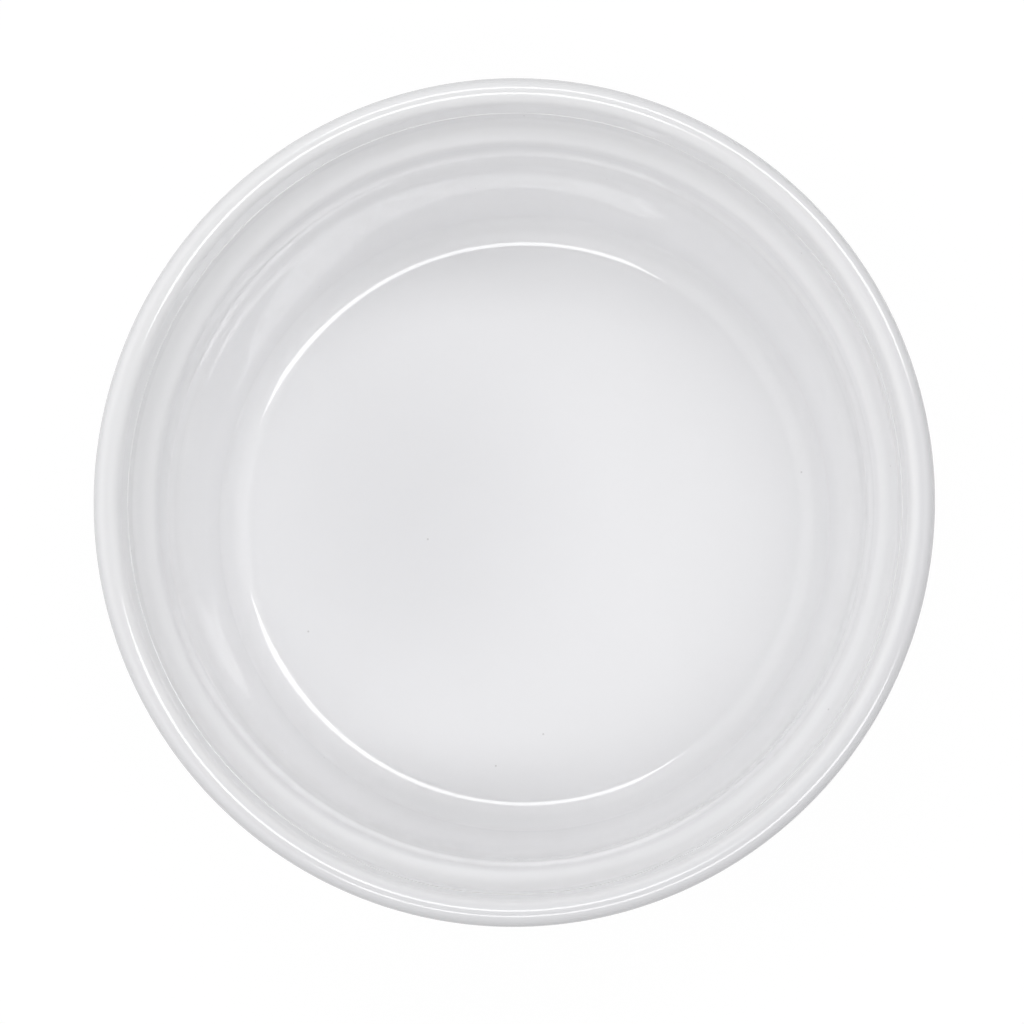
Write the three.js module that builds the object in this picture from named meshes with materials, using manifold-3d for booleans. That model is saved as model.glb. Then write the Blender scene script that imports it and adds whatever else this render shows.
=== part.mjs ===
// A fluted ramekin: a small round baking dish of white porcelain, modelled in millimetres with +Z up.
// The origin is on the table, on the dish's axis. The dish is a fired clay body with a glaze coat over
// everything but its foot ring, and a second patch of glaze in the recess inside the ring.
import * as THREE from 'three';
import { mergeVertices } from 'three/addons/utils/BufferGeometryUtils.js';
import Module from 'manifold-3d';

// Overall sizes
const RIM_DIAMETER = 90;
const HEIGHT = 45;

// Inside of the dish, with depths measured down from the lip and the flare measured down from the shoulder
const FLOOR_HEIGHT = 6;
const FLOOR_CORNER_RADIUS = 4;
const WELL_LOWER_DRAFT = THREE.MathUtils.degToRad(12.3);
const WELL_BEND_HEIGHT = 21;
const WELL_BEND_RADIUS = 80;
const WELL_UPPER_DRAFT = THREE.MathUtils.degToRad(2.5);
const WELL_FLARE_HEIGHT = 2.8;
const WELL_FLARE_RADIUS = 16;
const WELL_FLARE_DRAFT = THREE.MathUtils.degToRad(14);
const WELL_DIAMETER = 77.9;
const SHOULDER_DEPTH = 7.7;
const SHOULDER_RADIUS = 1.7;
const NECK_DIAMETER = 82.1;
const NECK_DEPTH = 6.3;
const NECK_RADIUS = 3.4;
const NECK_DRAFT = THREE.MathUtils.degToRad(10.8);

// Lip, and the plain band under it
const LIP_INNER_RADIUS = 1.7;
const LIP_OUTER_RADIUS = 1.35;
const BAND_HEIGHT = 9.5;
const BAND_DRAFT = THREE.MathUtils.degToRad(2);
const BAND_EDGE_RADIUS = 0.8;

// Fluted wall
const WALL_THICKNESS = 3.9;
const WALL_DRAFT = THREE.MathUtils.degToRad(6.5);
const FLUTE_COUNT = 40;
const FLUTE_DEPTH = 0.9;
const FLUTE_RUN_OUT = 2.4;

// Heel, foot ring and the recess inside the ring
const HEEL_RADIUS = 2;
const FOOT_HEIGHT = 1.2;
const FOOT_DIAMETER = 72.6;
const FOOT_WIDTH = 2.8;
const RECESS_DEPTH = 1.5;

// Glaze
const GLAZE_THICKNESS = 0.3;
const BASE_GLAZE_MARGIN = 0.8;

// Facets: an arc is cut closer to its true form than the glaze is thick, so that the clay never shows
const ARC_TOLERANCE = 0.45 * GLAZE_THICKNESS;
const SEGMENTS_PER_FLUTE = 3;
const INSIDE_SEGMENTS = 48;
const CUT_OVERRUN = 0.05;

// Finishes
const GLAZE_COLOUR = 0xeeeef0;
const GLAZE_ROUGHNESS = 0.12;
const CLAY_COLOUR = 0xe6e0d4;
const CLAY_ROUGHNESS = 0.8;

const wasm = await Module();
wasm.setup();

// A corner of an outline in the plane of radius and height, with the fillet that rounds it.
// The flutes are pressed in at the corners that are marked as fluted.
function corner(radius, height, fillet = 0, fluted = false) {
  return Object.assign(new THREE.Vector2(radius, height), { fillet, fluted });
}

// The unit direction from one point of an outline to another.
function heading(from, to) {
  return to.clone().sub(from).normalize();
}

// Moves an outline into the clay, which lies on its right, by the thickness of the glaze.
// A fillet shrinks where the clay is convex and grows where it is hollow.
function inset(corners) {
  return corners.map((here, index) => {
    const arriving = index > 0 ? heading(corners[index - 1], here) : heading(here, corners[1]);
    const leaving = index < corners.length - 1 ? heading(here, corners[index + 1]) : arriving;
    const share = GLAZE_THICKNESS / (1 + arriving.dot(leaving));
    const radius = here.x + (arriving.y + leaving.y) * share;
    const height = here.y - (arriving.x + leaving.x) * share;
    const growth = Math.sign(arriving.cross(leaving)) * GLAZE_THICKNESS;
    const fillet = here.fillet > 0 ? Math.max(here.fillet + growth, 0) : 0;
    return corner(radius, height, fillet, here.fluted);
  });
}

// Replaces each corner that has a fillet by points on its arc. Where two fillets need more room
// than the side between them has, both are made smaller.
function rounded(corners) {
  const turns = corners.map((here, index) => {
    const inner = index > 0 && index < corners.length - 1;
    return inner ? heading(corners[index - 1], here).angleTo(heading(here, corners[index + 1])) : 0;
  });
  const reach = corners.map((here, index) => here.fillet * Math.tan(turns[index] / 2));
  return corners.flatMap((here, index) => {
    if (reach[index] === 0) {
      return [here];
    }
    const before = corners[index - 1];
    const after = corners[index + 1];
    const roomBefore = here.distanceTo(before) / (reach[index] + reach[index - 1]);
    const roomAfter = here.distanceTo(after) / (reach[index] + reach[index + 1]);
    const fit = Math.min(1, roomBefore, roomAfter);
    const radius = here.fillet * fit;
    const start = here.clone().addScaledVector(heading(here, before), reach[index] * fit);
    const side = Math.sign(heading(before, here).cross(heading(here, after)));
    const toCentre = heading(before, here).rotateAround(new THREE.Vector2(), side * Math.PI / 2);
    const centre = start.clone().addScaledVector(toCentre, radius);
    const widestStep = 2 * Math.acos(Math.max(1 - ARC_TOLERANCE / radius, 0));
    const steps = Math.ceil(turns[index] / widestStep);
    return Array.from({ length: steps + 1 }, (_, step) =>
      start.clone().rotateAround(centre, side * turns[index] * step / steps));
  });
}

// Presses the flutes into a turned wall: shallow round-bottomed hollows with a ridge between each pair.
function pressFlutes(position, outline) {
  for (let index = 0; index < position.count; index += 1) {
    if (outline[index % outline.length].fluted) {
      const segment = Math.floor(index / outline.length);
      const acrossFlute = (segment % SEGMENTS_PER_FLUTE) / SEGMENTS_PER_FLUTE;
      const depth = FLUTE_DEPTH * (1 - (2 * acrossFlute - 1) ** 2);
      const radius = Math.hypot(position.getX(index), position.getY(index));
      const shrink = (radius - depth) / radius;
      position.setXY(index, position.getX(index) * shrink, position.getY(index) * shrink);
    }
  }
}

// Turns an outline, given from its lower end on the axis to its upper one, into a closed solid.
function revolve(outline, segments) {
  const lathe = new THREE.LatheGeometry(outline, segments);
  lathe.rotateX(Math.PI / 2);
  pressFlutes(lathe.attributes.position, outline);
  lathe.deleteAttribute('normal');
  lathe.deleteAttribute('uv');
  const merged = mergeVertices(lathe);
  const mesh = new wasm.Mesh({
    numProp: 3,
    vertProperties: merged.attributes.position.array,
    triVerts: new Uint32Array(merged.index.array),
  });
  return new wasm.Manifold(mesh);
}

// A named mesh of a solid in its own material.
function piece(name, solid, color, roughness) {
  const { vertProperties, triVerts } = solid.getMesh();
  const geometry = new THREE.BufferGeometry();
  geometry.setAttribute('position', new THREE.BufferAttribute(vertProperties, 3));
  geometry.setIndex(new THREE.BufferAttribute(triVerts, 1));
  geometry.computeVertexNormals();
  const mesh = new THREE.Mesh(geometry, new THREE.MeshStandardMaterial({ color, roughness, metalness: 0 }));
  mesh.name = name;
  return mesh;
}

// Heights and radii that follow from the sizes above
const rimRadius = RIM_DIAMETER / 2;
const footRadius = FOOT_DIAMETER / 2;
const footInside = footRadius - FOOT_WIDTH;
const shoulderHeight = HEIGHT - SHOULDER_DEPTH;
const bandBottom = HEIGHT - BAND_HEIGHT;
const fluteEnd = FOOT_HEIGHT + HEEL_RADIUS + FLUTE_RUN_OUT;
const wellRadius = WELL_DIAMETER / 2;
const flareBottom = shoulderHeight - WELL_FLARE_HEIGHT;
const flareRadius = wellRadius - WELL_FLARE_HEIGHT * Math.tan(WELL_FLARE_DRAFT);
const bendRadius = flareRadius - (flareBottom - WELL_BEND_HEIGHT) * Math.tan(WELL_UPPER_DRAFT);
const floorRadius = bendRadius - (WELL_BEND_HEIGHT - FLOOR_HEIGHT) * Math.tan(WELL_LOWER_DRAFT);
const wallRadiusAt = (height) =>
  wellRadius + WALL_THICKNESS - (shoulderHeight - height) * Math.tan(WALL_DRAFT);

// The finished inside, from the middle of the floor up the wall, which bends upright and then flares out,
// over its shoulder and up the neck to the lip. It runs a little past the lip's top, so that the hollow
// cuts the lip cleanly.
function insideCorners() {
  const neckRadius = NECK_DIAMETER / 2;
  const mouthRadius = neckRadius + NECK_DEPTH * Math.tan(NECK_DRAFT);
  const mouthHeight = HEIGHT + CUT_OVERRUN;
  return [
    corner(0, FLOOR_HEIGHT),
    corner(floorRadius, FLOOR_HEIGHT, FLOOR_CORNER_RADIUS),
    corner(bendRadius, WELL_BEND_HEIGHT, WELL_BEND_RADIUS),
    corner(flareRadius, flareBottom, WELL_FLARE_RADIUS),
    corner(wellRadius, shoulderHeight, SHOULDER_RADIUS),
    corner(neckRadius, HEIGHT - NECK_DEPTH, NECK_RADIUS),
    corner(mouthRadius, mouthHeight, LIP_INNER_RADIUS),
    corner(rimRadius - LIP_OUTER_RADIUS, mouthHeight),
  ];
}

// The finished outside, from the middle of the mouth over the lip, and down the band and the fluted
// wall to the underside, which ends at the given radius.
function outsideCorners(undersideEnd) {
  return [
    corner(0, HEIGHT),
    corner(rimRadius, HEIGHT, LIP_OUTER_RADIUS),
    corner(rimRadius - BAND_HEIGHT * Math.tan(BAND_DRAFT), bandBottom, BAND_EDGE_RADIUS),
    corner(wallRadiusAt(bandBottom), bandBottom, 0, true),
    corner(wallRadiusAt(fluteEnd), fluteEnd, 0, true),
    corner(wallRadiusAt(FOOT_HEIGHT), FOOT_HEIGHT, HEEL_RADIUS),
    corner(undersideEnd, FOOT_HEIGHT),
  ];
}

// The solid that hollows out the dish, closed above the lip.
function hollow(corners) {
  const outline = rounded(corners);
  const edge = outline.at(-1);
  const top = edge.y + LIP_INNER_RADIUS;
  return revolve([...outline, corner(edge.x, top), corner(0, top)], INSIDE_SEGMENTS);
}

const outsideSegments = FLUTE_COUNT * SEGMENTS_PER_FLUTE;

// Clay body: the finished form less its glaze, standing on a bare foot ring.
const clayOutline = [
  ...inset(outsideCorners(footRadius)),
  corner(footRadius, 0),
  corner(footInside, 0),
  corner(footInside, RECESS_DEPTH),
  corner(0, RECESS_DEPTH),
];
const clayBody = revolve(rounded(clayOutline).reverse(), outsideSegments)
  .subtract(hollow(inset(insideCorners())));

// Glaze coat: what the finished form has outside the clay, from the floor over the lip to the foot ring.
// Under the dish its solid closes inside the clay, so nothing of that part is left.
const insideFoot = (footRadius + footInside) / 2;
const insideFloor = (RECESS_DEPTH + FLOOR_HEIGHT) / 2;
const coatOutline = [...outsideCorners(insideFoot), corner(insideFoot, insideFloor), corner(0, insideFloor)];
const glazeCoat = revolve(rounded(coatOutline).reverse(), outsideSegments)
  .subtract(hollow(insideCorners()))
  .subtract(clayBody);

// Base glaze: a thin disc on the recess, wiped back from the foot ring.
const baseGlazeRadius = footInside - BASE_GLAZE_MARGIN;
const baseGlaze = revolve([
  corner(0, RECESS_DEPTH - GLAZE_THICKNESS),
  corner(baseGlazeRadius, RECESS_DEPTH - GLAZE_THICKNESS),
  corner(baseGlazeRadius, RECESS_DEPTH),
  corner(0, RECESS_DEPTH),
], INSIDE_SEGMENTS);

const ramekin = new THREE.Group();
ramekin.add(piece('clay_body', clayBody, CLAY_COLOUR, CLAY_ROUGHNESS));
ramekin.add(piece('glaze_coat', glazeCoat, GLAZE_COLOUR, GLAZE_ROUGHNESS));
ramekin.add(piece('base_glaze', baseGlaze, GLAZE_COLOUR, GLAZE_ROUGHNESS));

export default ramekin;
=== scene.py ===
import math
from collections import namedtuple

import bpy
from mathutils import Matrix, Vector


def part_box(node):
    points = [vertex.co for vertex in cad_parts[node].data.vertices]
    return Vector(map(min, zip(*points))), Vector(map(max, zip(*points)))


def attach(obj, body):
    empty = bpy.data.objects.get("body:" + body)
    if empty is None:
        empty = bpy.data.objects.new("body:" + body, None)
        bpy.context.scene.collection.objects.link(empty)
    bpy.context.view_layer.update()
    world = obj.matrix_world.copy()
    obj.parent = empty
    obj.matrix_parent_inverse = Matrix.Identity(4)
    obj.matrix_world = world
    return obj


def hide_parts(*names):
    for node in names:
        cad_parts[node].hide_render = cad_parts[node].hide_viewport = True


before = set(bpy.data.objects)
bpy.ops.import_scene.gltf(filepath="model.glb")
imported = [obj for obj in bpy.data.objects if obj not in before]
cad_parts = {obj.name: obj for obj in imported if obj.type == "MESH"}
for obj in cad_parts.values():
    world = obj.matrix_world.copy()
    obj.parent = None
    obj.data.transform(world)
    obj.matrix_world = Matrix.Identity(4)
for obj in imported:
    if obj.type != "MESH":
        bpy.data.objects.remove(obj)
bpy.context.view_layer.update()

# Clay body: the dish itself, porcelain slip cast in a fluted plaster mould and fired white and hard.
# Glaze hides all of it but the foot ring, which is wiped bare so that the dish can't stick in the kiln.

mm = 0.001
coat_low, coat_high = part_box("glaze_coat")
base_low, base_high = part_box("base_glaze")
rim_radius = 45.0 * mm
height = coat_high.z
foot_height = coat_low.z
recess_depth = base_high.z
glaze_thickness = base_high.z - base_low.z

# The inside, with depths measured down from the lip and the flare measured down from the shoulder
floor_height = 6.0 * mm
floor_corner_radius = 4.0 * mm
well_lower_draft = math.radians(12.3)
well_bend_height = 21.0 * mm
well_bend_radius = 80.0 * mm
well_upper_draft = math.radians(2.5)
well_flare_height = 2.8 * mm
well_flare_radius = 16.0 * mm
well_flare_draft = math.radians(14.0)
well_radius = 38.95 * mm
shoulder_depth = 7.7 * mm
shoulder_radius = 1.7 * mm
neck_depth = 6.3 * mm
neck_fillet = 3.4 * mm
neck_draft = math.radians(10.8)

# The lip, and the plain band under it
lip_inner_radius = 1.7 * mm
lip_outer_radius = 1.35 * mm
crest_radius = rim_radius - lip_outer_radius
band_height = 9.5 * mm
band_draft = math.radians(2.0)
band_edge_radius = 0.8 * mm

# The fluted wall
wall_thickness = 3.9 * mm
wall_draft = math.radians(6.5)
flute_count = 40
flute_depth = 0.9 * mm
flute_top_fillet = 0.7 * mm
flute_run_out = 3.2 * mm
heel_radius = 2.0 * mm

# The bare foot ring, and the recess inside it
foot_radius = 36.3 * mm
foot_width = 2.8 * mm
foot_edge_radius = 0.5 * mm

# A fired dish is never quite round: this one is longer along Y by this share, and its wall wanders a little.
out_of_round = 0.0053
unevenness = 0.0075 * mm
unevenness_per_metre = 35.0
wander_seed = 7.0

# A corner of a turned outline: where it is, the fillet that rounds it, how far it is pressed by the flutes,
# and the steps that its arc is cut into.
Corner = namedtuple("Corner", "radius height fillet flute steps", defaults=(0.0, 0.0, 1))
mirror_steps = 22
soft_steps = 10
edge_steps = 6
hidden_steps = 3


def inside_outline():
    """The finished inside, from the middle of the floor up the wall, the shoulder and the neck to the lip."""
    shoulder_height = height - shoulder_depth
    flare_bottom = shoulder_height - well_flare_height
    flare_radius = well_radius - well_flare_height * math.tan(well_flare_draft)
    bend_radius = flare_radius - (flare_bottom - well_bend_height) * math.tan(well_upper_draft)
    floor_radius = bend_radius - (well_bend_height - floor_height) * math.tan(well_lower_draft)
    lip_reach = lip_inner_radius * math.tan((math.pi / 2 - neck_draft) / 2)
    mouth_radius = crest_radius - lip_reach
    neck_radius = mouth_radius - neck_depth * math.tan(neck_draft)
    return [
        Corner(0.0, floor_height),
        Corner(floor_radius, floor_height, floor_corner_radius, steps=mirror_steps),
        Corner(bend_radius, well_bend_height, well_bend_radius, steps=soft_steps),
        Corner(flare_radius, flare_bottom, well_flare_radius, steps=soft_steps),
        Corner(well_radius, shoulder_height, shoulder_radius, steps=mirror_steps),
        Corner(neck_radius, height - neck_depth, neck_fillet, steps=mirror_steps),
        Corner(mouth_radius, height, lip_inner_radius, steps=mirror_steps),
    ]


def outside_outline():
    """The finished outside, from the lip down the band and the fluted wall to the root of the foot ring."""
    shoulder_height = height - shoulder_depth
    band_bottom = height - band_height
    band_radius = rim_radius - band_height * math.tan(band_draft)
    run_out_end = foot_height + heel_radius
    run_out_steps = 6

    def wall_radius(level):
        return well_radius + wall_thickness - (shoulder_height - level) * math.tan(wall_draft)

    fading = []
    for step in range(run_out_steps):
        share = step / run_out_steps
        level = run_out_end + flute_run_out * (1 - share)
        fading.append(Corner(wall_radius(level), level, flute=1 - share * share * (3 - 2 * share)))
    return [
        Corner(rim_radius, height, lip_outer_radius, steps=mirror_steps),
        Corner(band_radius, band_bottom, band_edge_radius, steps=edge_steps),
        Corner(wall_radius(band_bottom), band_bottom, flute_top_fillet, flute=1.0, steps=edge_steps),
        *fading,
        Corner(wall_radius(foot_height), foot_height, heel_radius, steps=edge_steps),
        Corner(foot_radius, foot_height),
    ]


def under_glaze(corners):
    """An outline moved into the clay, which lies on its right, by the thickness of the glaze."""
    points = [Vector((corner.radius, corner.height)) for corner in corners]
    moved = []
    for index, corner in enumerate(corners):
        before = points[max(index - 1, 0)]
        after = points[min(index + 1, len(points) - 1)]
        arriving = (points[index] - before).normalized()
        leaving = (after - points[index]).normalized()
        arriving = arriving if arriving.length > 0 else leaving
        leaving = leaving if leaving.length > 0 else arriving
        share = glaze_thickness / (1 + arriving.dot(leaving))
        turn = arriving.x * leaving.y - arriving.y * leaving.x
        grown = corner.fillet + math.copysign(glaze_thickness, turn)
        moved.append(Corner(
            points[index].x + (arriving.y + leaving.y) * share,
            points[index].y - (arriving.x + leaving.x) * share,
            max(grown, 0.0) if corner.fillet > 0 else 0.0,
            corner.flute,
            hidden_steps,
        ))
    return moved


guard_gap = 0.15 * mm


def guarded(corners):
    """Adds a point just past each end of every fillet, so that smooth shading leaves the runs straight."""
    points = [Vector((corner.radius, corner.height)) for corner in corners]
    taken = [0.0] * len(corners)
    for index in range(1, len(corners) - 1):
        turn = (points[index] - points[index - 1]).angle(points[index + 1] - points[index])
        taken[index] = corners[index].fillet * math.tan(turn / 2)
    outline = [corners[0]]
    for index in range(1, len(corners)):
        start, end = corners[index - 1], corners[index]
        length = (points[index] - points[index - 1]).length
        guards = [taken[index - 1] + guard_gap] if start.fillet > 0 else []
        guards += [length - taken[index] - guard_gap] if end.fillet > 0 else []
        if guards and length - taken[index - 1] - taken[index] > 4 * guard_gap:
            for distance in guards:
                place = points[index - 1].lerp(points[index], distance / length)
                flute = start.flute + (end.flute - start.flute) * distance / length
                outline.append(Corner(place.x, place.y, flute=flute))
        outline.append(end)
    return outline


class Value:
    """A socket in a node tree. Sums on it add Math nodes, and value["name"] is its node's other output."""

    def __init__(self, tree, socket):
        self.tree = tree
        self.socket = socket

    def __getitem__(self, name):
        return Value(self.tree, self.socket.node.outputs[name])

    def sum(self, operation, *values):
        return self.tree.add("ShaderNodeMath", {"operation": operation}, dict(enumerate(values)))

    def __add__(self, other):
        return self.sum("ADD", self, other)

    def __radd__(self, other):
        return self.sum("ADD", other, self)

    def __sub__(self, other):
        return self.sum("SUBTRACT", self, other)

    def __rsub__(self, other):
        return self.sum("SUBTRACT", other, self)

    def __mul__(self, other):
        return self.sum("MULTIPLY", self, other)

    def __rmul__(self, other):
        return self.sum("MULTIPLY", other, self)

    def __truediv__(self, other):
        return self.sum("DIVIDE", self, other)

    def __mod__(self, other):
        return self.sum("FLOORED_MODULO", self, other)

    def floor(self):
        return self.sum("FLOOR", self)

    def cosine(self):
        return self.sum("COSINE", self)

    def sine(self):
        return self.sum("SINE", self)

    def root(self):
        return self.sum("SQRT", self)

    def larger(self, other):
        return self.sum("MAXIMUM", self, other)


class Tree:
    """A node tree, written as code."""

    def __init__(self, made):
        self.made = made

    def add(self, kind, settings=None, sockets=None):
        """Adds a node: its settings first, then the value or link of each socket, by name or by place."""
        node = self.made.nodes.new(kind)
        for name, value in (settings or {}).items():
            setattr(node, name, value)
        for name, value in (sockets or {}).items():
            socket = node.inputs[name]
            if isinstance(name, str):
                socket = next(each for each in node.inputs if each.name == name and each.enabled)
            if isinstance(value, Value):
                self.made.links.new(value.socket, socket)
            else:
                socket.default_value = value
        outputs = [socket for socket in node.outputs if socket.enabled]
        return Value(self, outputs[0]) if outputs else None

    def ramp(self, value, start, end):
        """A smooth step from 0 where the value is at its start to 1 where it is at its end."""
        return self.add("ShaderNodeMapRange", {"interpolation_type": "SMOOTHSTEP"},
                        {"Value": value, "From Min": start, "From Max": end})

    def mix(self, share, first, second):
        """A colour between the first and the second, by the second's share."""
        return self.add("ShaderNodeMix", {"data_type": "RGBA"},
                        {"Factor": share, "A": first, "B": second})

    def noise(self, place, per_metre, detail, roughness=0.5):
        """Cloudy noise from about 0 to 1, with this many clouds to the metre."""
        return self.add("ShaderNodeTexNoise", None,
                        {"Vector": place, "Scale": per_metre, "Detail": detail, "Roughness": roughness})


seam_gap = 0.0005 * mm


def wheel():
    """Geometry nodes that turn a section into a closed piece and press the flutes into it."""
    made = bpy.data.node_groups.new("wheel", "GeometryNodeTree")
    made.interface.new_socket("Piece", in_out="OUTPUT", socket_type="NodeSocketGeometry")
    inputs = {
        "Section": "NodeSocketGeometry",
        "Segments": "NodeSocketInt",
        "Flute count": "NodeSocketInt",
        "Flute depth": "NodeSocketFloat",
        "Out of round": "NodeSocketFloat",
        "Unevenness": "NodeSocketFloat",
        "Unevenness per metre": "NodeSocketFloat",
        "Seed": "NodeSocketFloat",
        "Finish": "NodeSocketMaterial",
    }
    for name, kind in inputs.items():
        made.interface.new_socket(name, in_out="INPUT", socket_type=kind)
    tree = Tree(made)
    given = tree.add("NodeGroupInput")

    # The section, with its corners rounded
    fillet = tree.add("GeometryNodeInputNamedAttribute", {"data_type": "FLOAT"}, {"Name": "fillet"})
    steps = tree.add("GeometryNodeInputNamedAttribute", {"data_type": "INT"}, {"Name": "steps"})
    chain = tree.add("GeometryNodeMeshToCurve", None, {"Mesh": given["Section"]})
    section = tree.add("GeometryNodeFilletCurve", {"mode": "POLY"},
                       {"Curve": chain, "Radius": fillet, "Count": steps, "Limit Radius": True})
    points = tree.add("GeometryNodeAttributeDomainSize", {"component": "CURVE"}, {"Geometry": section})

    # A sheet with a row of points for each angle, rolled up round the axis
    sheet = tree.add("GeometryNodeMeshGrid", None,
                     {"Vertices X": given["Segments"] + 1, "Vertices Y": points})
    index = tree.add("GeometryNodeInputIndex")
    on_section = index % points
    turn = (index / points).floor() / given["Segments"]
    angle = turn * math.tau
    position = tree.add("GeometryNodeInputPosition")
    corner = tree.add("GeometryNodeSampleIndex", {"data_type": "FLOAT_VECTOR", "domain": "POINT"},
                      {"Geometry": section, "Value": position, "Index": on_section})
    place = tree.add("ShaderNodeSeparateXYZ", None, {"Vector": corner})
    radius, level = place["X"], place["Z"]

    # Round-bottomed flutes with a ridge between each pair
    flute = tree.add("GeometryNodeInputNamedAttribute", {"data_type": "FLOAT"}, {"Name": "flute"})
    pressed = tree.add("GeometryNodeSampleIndex", {"data_type": "FLOAT", "domain": "POINT"},
                       {"Geometry": section, "Value": flute, "Index": on_section})
    across = (turn * given["Flute count"]) % 1.0 * 2.0 - 1.0
    hollow = pressed * (1.0 - across * across)

    # The slow wander of a fired wall
    on_circle = tree.add("ShaderNodeCombineXYZ", None,
                         {"X": radius * angle.cosine(), "Y": radius * angle.sine(), "Z": level})
    wander = tree.add("ShaderNodeTexNoise", {"noise_dimensions": "4D"}, {
        "Vector": on_circle,
        "W": given["Seed"],
        "Scale": given["Unevenness per metre"],
        "Detail": 1.0,
    })
    oval = 1.0 - given["Out of round"] * (angle * 2.0).cosine()
    reach = (radius - hollow * given["Flute depth"]) * oval
    edge = radius / rim_radius
    reach = reach + edge * given["Unevenness"] * (wander - 0.5)
    rolled = tree.add("ShaderNodeCombineXYZ", None,
                      {"X": reach * angle.cosine(), "Y": reach * angle.sine(), "Z": level})
    turned = tree.add("GeometryNodeSetPosition", None, {"Geometry": sheet, "Position": rolled})
    kept = tree.add("GeometryNodeStoreNamedAttribute", {"data_type": "FLOAT", "domain": "POINT"},
                    {"Geometry": turned, "Name": "hollow", "Value": hollow})
    closed = tree.add("GeometryNodeMergeByDistance", None, {"Geometry": kept, "Distance": seam_gap})
    smooth = tree.add("GeometryNodeSetShadeSmooth", None, {"Geometry": closed})
    real = tree.add("GeometryNodeRealizeInstances", None, {"Geometry": smooth})
    finished = tree.add("GeometryNodeSetMaterial", None, {"Geometry": real, "Material": given["Finish"]})
    tree.add("NodeGroupOutput", None, {"Piece": finished})
    return made


potters_wheel = wheel()


def turned(name, corners, segments, finish):
    """A closed piece, turned on the wheel from the section that the corners give."""
    section = bpy.data.meshes.new(name + "_section")
    edges = [(index, index + 1) for index in range(len(corners) - 1)]
    section.from_pydata([(corner.radius, 0.0, corner.height) for corner in corners], edges, [])
    for field, kind in (("fillet", "FLOAT"), ("flute", "FLOAT"), ("steps", "INT")):
        attribute = section.attributes.new(field, kind, "POINT")
        for entry, corner in zip(attribute.data, corners):
            entry.value = getattr(corner, field)
    piece = bpy.data.objects.new(name, section)
    bpy.context.scene.collection.objects.link(piece)
    turning = piece.modifiers.new("wheel", "NODES")
    turning.node_group = potters_wheel
    sizes = {
        "Segments": segments,
        "Flute count": flute_count,
        "Flute depth": flute_depth,
        "Out of round": out_of_round,
        "Unevenness": unevenness,
        "Unevenness per metre": unevenness_per_metre,
        "Seed": wander_seed,
        "Finish": finish,
    }
    for socket in potters_wheel.interface.items_tree:
        if socket.in_out == "INPUT" and socket.name in sizes:
            turning[socket.identifier] = sizes[socket.name]
    evaluated = piece.evaluated_get(bpy.context.evaluated_depsgraph_get())
    mesh = bpy.data.meshes.new_from_object(evaluated)
    piece.modifiers.remove(turning)
    piece.data = mesh
    return piece


def blank_material(name):
    """A new material and its empty node tree."""
    made = bpy.data.materials.new(name)
    made.use_nodes = True
    made.node_tree.nodes.clear()
    tree = Tree(made.node_tree)
    return made, tree


clay_pale = (0.84, 0.79, 0.71, 1.0)
clay_deep = (0.74, 0.69, 0.61, 1.0)
clay_rubbed = (0.52, 0.49, 0.45, 1.0)
clay_roughness = 0.62
clay_grain_roughness = 0.3
clay_grain_per_metre = 2600.0
clay_grain_relief = 0.03 * mm
clay_clouds_per_metre = 160.0
rubbed_share = 0.7
rubbed_edge = (0.45 * mm, 0.1 * mm)
rubbed_wander = 0.5 * mm


def bare_clay():
    """Fired porcelain without glaze: fine, dry and off white, darker where the foot has rubbed."""
    made, tree = blank_material("bare_clay")
    place = tree.add("ShaderNodeTexCoord")["Object"]
    grain = tree.noise(place, clay_grain_per_metre, 4.0, roughness=0.7)
    clouds = tree.noise(place, clay_clouds_per_metre, 3.0)
    level = tree.add("ShaderNodeSeparateXYZ", None, {"Vector": place})["Z"]
    rubbed = tree.ramp(level + clouds * rubbed_wander, *rubbed_edge)
    tone = tree.mix(clouds, clay_deep, clay_pale)
    worn = tree.mix(rubbed * grain * rubbed_share, tone, clay_rubbed)
    relief = tree.add("ShaderNodeBump", None,
                      {"Height": grain, "Distance": clay_grain_relief, "Strength": 1.0})
    shader = tree.add("ShaderNodeBsdfPrincipled", None, {
        "Base Color": worn,
        "Roughness": clay_roughness + grain * clay_grain_roughness,
        "Normal": relief,
    })
    tree.add("ShaderNodeOutputMaterial", None, {"Surface": shader})
    return made


segments_per_flute = 10
round_segments = segments_per_flute * flute_count
clay_outside = under_glaze(inside_outline() + outside_outline())
foot_inside = foot_radius - foot_width
foot_ring = [
    Corner(foot_radius, 0.0, foot_edge_radius, steps=edge_steps),
    Corner(foot_inside, 0.0, foot_edge_radius, steps=edge_steps),
    Corner(foot_inside, recess_depth, foot_edge_radius, steps=edge_steps),
    Corner(0.0, recess_depth),
]
clay_body = turned("fired_clay_body", clay_outside + foot_ring, round_segments, bare_clay())
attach(clay_body, "root")
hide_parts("clay_body")

# Glaze coat: a white glass, poured in and dipped, that runs from the floor over the lip and down to the foot.
# It is fired onto the clay as one skin. Its colour carries painted shade: a little darker in the floor and
# the flutes, and on the ledge, the lip and its outer roll, most of all on the near right side.

glaze_deep = (0.915, 0.915, 0.926, 1.0)
glaze_pale = (0.925, 0.925, 0.936, 1.0)
# Painted shade: the darker glaze colour for the floor and the flutes
glaze_floor_flute_shade = (0.82, 0.82, 0.84, 1.0)
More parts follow.
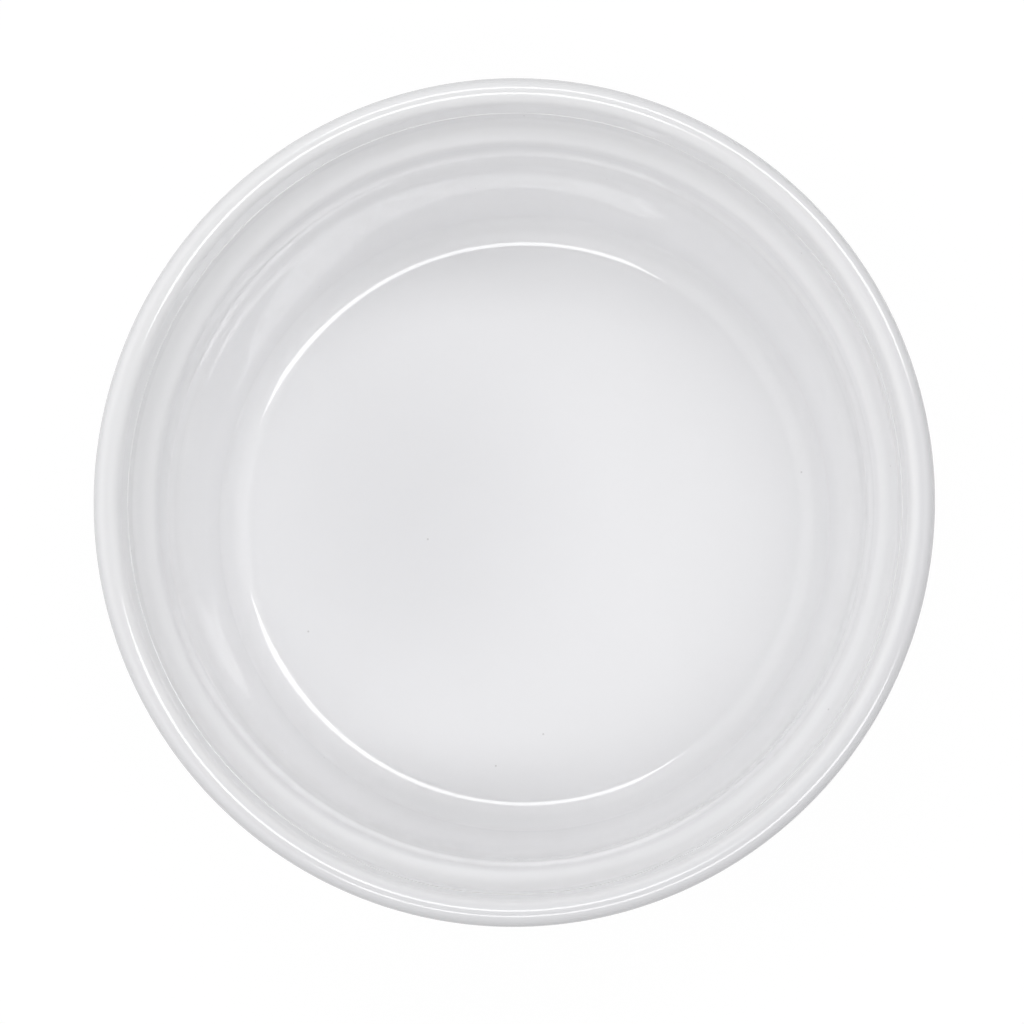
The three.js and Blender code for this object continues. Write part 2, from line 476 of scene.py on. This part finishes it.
# Painted shade: the darker glaze colour for the lip, its outer roll and the ledge
glaze_rim_shade = (0.79, 0.79, 0.81, 1.0)
glaze_speck = (0.16, 0.14, 0.13, 1.0)
glaze_refraction = 1.65
glaze_roughness = 0.02
glaze_cloud_roughness = 0.02
glaze_clouds_per_metre = 45.0
glaze_specks_per_metre = 210.0
speck_edge = (0.03, 0.018)
speck_share = 0.25
speck_share_added_on_rim = 0.5
glaze_swell_per_metre = 90.0
glaze_peel_per_metre = 420.0
glaze_peel_share = 0.2
glaze_ripple_height = 0.003 * mm

# Where the painted shade lies on the glaze, and by what share each place shows it. The floor's shade lies off
# the axis.
# An edge fades in from its first place to its second.
flute_shade_share = 0.5
floor_shade_share = 0.42
roll_shade_share = 0.3
ledge_shade_share = 0.3
floor_shade_offset = 10.0 * mm
floor_shade_edge = (34.0 * mm, 3.0 * mm)
rim_edge = (height - 4.0 * mm, height - 1.5 * mm)
lip_edge = (crest_radius - 1.2 * mm, crest_radius - 0.5 * mm)
roll_edge = (crest_radius, crest_radius + 0.8 * mm)
above_well_edge = (height - 10.0 * mm, height - 9.0 * mm)
ledge_inner_edge = (37.9 * mm, 38.7 * mm)
ledge_outer_edge = (41.0 * mm, 40.0 * mm)
# The side where the painted shade on the lip is darkest: the near right
rim_shade_side = (0.6, -0.8)


def white_glaze():
    """Glossy porcelain glaze: a cool white with faint clouds, a few iron specks and a slight ripple."""
    made, tree = blank_material("white_glaze")
    place = tree.add("ShaderNodeTexCoord")["Object"]
    clouds = tree.noise(place, glaze_clouds_per_metre, 3.0)
    tone = tree.mix(clouds, glaze_deep, glaze_pale)

    # Painted shade, darker in the flutes and in the floor
    point = tree.add("ShaderNodeSeparateXYZ", None, {"Vector": place})
    across, along, up = point["X"], point["Y"], point["Z"]
    from_floor_shade = ((across + floor_shade_offset) * (across + floor_shade_offset) + along * along).root()
    floor_shade_mask = tree.ramp(from_floor_shade, *floor_shade_edge)
    hollow = tree.add("ShaderNodeAttribute", {"attribute_name": "hollow"})["Fac"]
    floor_flute_shaded = tree.mix(hollow * flute_shade_share + floor_shade_mask * floor_shade_share, tone, glaze_floor_flute_shade)

    # Painted shade on the lip, most of all on its near right side, on its outer roll and on the ledge
    from_axis = (across * across + along * along).root()
    on_rim = tree.ramp(up, *rim_edge)
    lip = on_rim * tree.ramp(from_axis, *lip_edge)
    roll = on_rim * tree.ramp(from_axis, *roll_edge)
    near_right_shade = 0.5 + (across * rim_shade_side[0] + along * rim_shade_side[1]) / (2.0 * rim_radius)
    above_well = tree.ramp(up, *above_well_edge)
    ledge = above_well * tree.ramp(from_axis, *ledge_inner_edge) * tree.ramp(from_axis, *ledge_outer_edge)
    rim_shade_mask = lip * near_right_shade + roll * roll_shade_share + ledge * ledge_shade_share
    rim_shaded = tree.mix(rim_shade_mask, floor_flute_shaded, glaze_rim_shade)

    # Specks of iron, plainest on the rim
    from_speck = tree.add("ShaderNodeTexVoronoi", {"feature": "F1"},
                          {"Vector": place, "Scale": glaze_specks_per_metre})
    dot = tree.ramp(from_speck, *speck_edge)
    colour = tree.mix(dot * (speck_share + on_rim * speck_share_added_on_rim), rim_shaded, glaze_speck)

    # The ripple of a glass that ran and set: a slow swell, with a fine peel on it
    peel = tree.noise(place, glaze_peel_per_metre, 1.0)
    swell = tree.noise(place, glaze_swell_per_metre, 1.0)
    ripple = tree.add("ShaderNodeBump", None, {
        "Height": peel * glaze_peel_share + swell,
        "Distance": glaze_ripple_height,
        "Strength": 1.0,
    })
    shader = tree.add("ShaderNodeBsdfPrincipled", None, {
        "Base Color": colour,
        "Roughness": glaze_roughness + clouds * glaze_cloud_roughness,
        "IOR": glaze_refraction,
        "Normal": ripple,
    })
    tree.add("ShaderNodeOutputMaterial", None, {"Surface": shader})
    return made


# A fine step in the neck, where the mould for the lip ended, catches the light as a thin line.
neck_step_depth = 3.5 * mm
neck_step_width = 0.08 * mm
neck_step_slope = math.radians(16.0)
neck_step_fillet = 0.04 * mm

glaze = white_glaze()
*well, mouth = inside_outline()
step_radius = mouth.radius - neck_step_depth * math.tan(neck_draft)
neck_step = [
    Corner(
        step_radius + side * neck_step_width / 2,
        height - neck_step_depth + side * neck_step_width / 2 * math.tan(neck_step_slope),
        neck_step_fillet,
        steps=edge_steps,
    )
    for side in (-1, 1)
]
finished = [*well, *neck_step, mouth, *outside_outline()]
underside = list(reversed(clay_outside))
glaze_coat = turned("white_glaze_coat", guarded(finished) + underside, round_segments, glaze)
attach(glaze_coat, "root")
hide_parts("glaze_coat")

# Base glaze: the patch of the same glaze in the recess under the dish. It is brushed on and wiped back
# from the foot ring, so it ends in a soft round edge.

base_glaze_radius = base_high.x
base_section = [
    Corner(0.0, recess_depth - glaze_thickness),
    Corner(base_glaze_radius, recess_depth - glaze_thickness, glaze_thickness, steps=edge_steps),
    Corner(base_glaze_radius, recess_depth),
    Corner(0.0, recess_depth),
]
base_glaze = turned("base_glaze_patch", guarded(base_section), round_segments, glaze)
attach(base_glaze, "root")
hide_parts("base_glaze")

# Table: a plain white surface that the dish stands on, and that runs out of sight on all sides.
# It lies a hair under the foot ring, so that the two don't share a plane.

table_half_width = 4.0
table_gap = 0.02 * mm
table_corners = [
    (side * table_half_width, end * table_half_width, -table_gap)
    for side, end in ((-1, -1), (1, -1), (1, 1), (-1, 1))
]
table_mesh = bpy.data.meshes.new("table")
table_mesh.from_pydata(table_corners, [], [(0, 1, 2, 3)])
table = bpy.data.objects.new("table", table_mesh)
bpy.context.scene.collection.objects.link(table)

pure_white = (1.0, 1.0, 1.0, 1.0)
table_paint = (0.95, 0.95, 0.95, 1.0)
table_bounce = (0.60, 0.60, 0.60, 1.0)
table_glow = 1.02
table_glow_share = 0.93


def shown_ray(tree):
    """1 for a ray that shows the background as it is: straight to the eye, or by a mirror or glass."""
    path = tree.add("ShaderNodeLightPath")
    return path["Is Camera Ray"].larger(path["Is Glossy Ray"]).larger(path["Is Transmission Ray"])


def table_white():
    """White where it shows, with a share of real shading for the shadow. It throws less light up."""
    made, tree = blank_material("table_white")
    shown = shown_ray(tree)
    paint = tree.mix(shown, table_bounce, table_paint)
    lit = tree.add("ShaderNodeBsdfDiffuse", None, {"Color": paint})
    white = tree.add("ShaderNodeEmission", None, {"Color": pure_white, "Strength": table_glow})
    surface = tree.add("ShaderNodeMixShader", None, {"Fac": shown * table_glow_share, 1: lit, 2: white})
    tree.add("ShaderNodeOutputMaterial", None, {"Surface": surface})
    return made


table_mesh.materials.append(table_white())

# Light: two strip softboxes, on the near and the far side, draw the bright lines on the lip and the wall.
# Soft panels, most of them on the left, fill the dish. The glaze doesn't mirror them.

dish_middle = Vector((0.0, 0.0, 0.03))


def softbox(name, place, length, width, brightness):
    """A rectangular lamp aimed at the dish, with its long side level. At a brightness of 1 it looks white."""
    lamp = bpy.data.lights.new(name, "AREA")
    lamp.shape = "RECTANGLE"
    lamp.size = length
    lamp.size_y = width
    lamp.energy = math.pi * length * width * brightness
    holder = bpy.data.objects.new(name, lamp)
    bpy.context.scene.collection.objects.link(holder)
    back = (place - dish_middle).normalized()
    along = Vector((1.0, 0.0, 0.0)) if abs(back.x) < abs(back.y) else Vector((0.0, 1.0, 0.0))
    along = (along - back * along.dot(back)).normalized()
    across = back.cross(along)
    holder.matrix_world = Matrix((along, across, back)).transposed().to_4x4()
    holder.location = place
    return holder


# Each strip: its place, its length and its brightness
strip_width = 0.165
strips = {
    "near": (Vector((0.18, -0.27, 0.745)), 0.80, 4.35),
    "far": (Vector((0.17, 0.29, 0.745)), 0.70, 4.2),
}
for side, (place, length, brightness) in strips.items():
    softbox(f"strip_{side}", place, length, strip_width, brightness)

# Each arc of panels: its angle down from straight above, its panels' bearings, and their brightness
panel_side = 0.48
panel_distance = 0.9
panel_arcs = {
    "left": (57, (135, 180, 225), 1.15),
    "left_high": (32, (180,), 0.75),
    "right": (60, (0, 45), 0.25),
}
for side, (angle_down, bearings, brightness) in panel_arcs.items():
    for bearing in bearings:
        down, turn = math.radians(angle_down), math.radians(bearing)
        out = math.sin(down)
        outward = Vector((out * math.cos(turn), out * math.sin(turn), math.cos(down)))
        place = dish_middle + outward * panel_distance
        panel = softbox(f"panel_{side}_{bearing}", place, panel_side, panel_side, brightness)
        panel.visible_glossy = False

# Room: dim in the light that it gives, and a little brighter on the far side. Where it shows, to the eye or
# in the glaze, it is white, but for the darker ceiling that the floor of the dish mirrors.

room_level = 0.265
room_lean = (0.0, 0.35, 0.0)
ceiling_level = 0.3
ceiling_edge = (0.9, 0.98)
room = bpy.data.worlds.new("room")
room.use_nodes = True
room.node_tree.nodes.clear()
room_tree = Tree(room.node_tree)
shown = shown_ray(room_tree)
direction = room_tree.add("ShaderNodeTexCoord")["Generated"]
lean = room_tree.add("ShaderNodeVectorMath", {"operation": "DOT_PRODUCT"},
                     {0: direction, 1: room_lean})["Value"]
upright = room_tree.add("ShaderNodeSeparateXYZ", None, {"Vector": direction})["Z"]
ceiling = room_tree.ramp(upright, *ceiling_edge)
shown_level = 1.0 - ceiling * (1.0 - ceiling_level)
strength = room_level * (1.0 + lean) * (1.0 - shown) + shown_level * shown
background = room_tree.add("ShaderNodeBackground", None, {"Color": pure_white, "Strength": strength})
room_tree.add("ShaderNodeOutputWorld", None, {"Surface": background})
bpy.context.scene.world = room

# Camera: almost straight above the dish, a little towards its near right, with a long lens.
# It is aimed so that the middle of the rim lands on its pixel in the picture.

picture_size = 1024
rim_centre_pixel = (512.4, 498.8)
pixels_per_metre_at_rim = 9442.0
camera_distance = 0.455
camera_tilt = math.radians(4.7)
camera_bearing = math.radians(-63.6)
sensor_width = 36.0

pixel_focal_length = pixels_per_metre_at_rim * camera_distance
to_camera = Vector((
    math.cos(camera_bearing) * math.sin(camera_tilt),
    math.sin(camera_bearing) * math.sin(camera_tilt),
    math.cos(camera_tilt),
))


def picture_axes(forward):
    """The picture's right and up directions for a view with +Y upwards."""
    up = (Vector((0.0, 1.0, 0.0)) - forward * forward.y).normalized()
    return forward.cross(up).normalized(), up


right, up = picture_axes(-to_camera)
shift_right = (rim_centre_pixel[0] - picture_size / 2) / pixel_focal_length
shift_up = (picture_size / 2 - rim_centre_pixel[1]) / pixel_focal_length
forward = (-to_camera - right * shift_right - up * shift_up).normalized()
right, up = picture_axes(forward)
lens = bpy.data.cameras.new("camera")
lens.sensor_width = sensor_width
lens.lens = pixel_focal_length / picture_size * sensor_width
camera = bpy.data.objects.new("camera", lens)
bpy.context.scene.collection.objects.link(camera)
camera.matrix_world = Matrix((right, up, -forward)).transposed().to_4x4()
camera.location = Vector((0.0, 0.0, height)) + to_camera * camera_distance
bpy.context.scene.camera = camera
bpy.context.scene.view_settings.view_transform = "Standard"
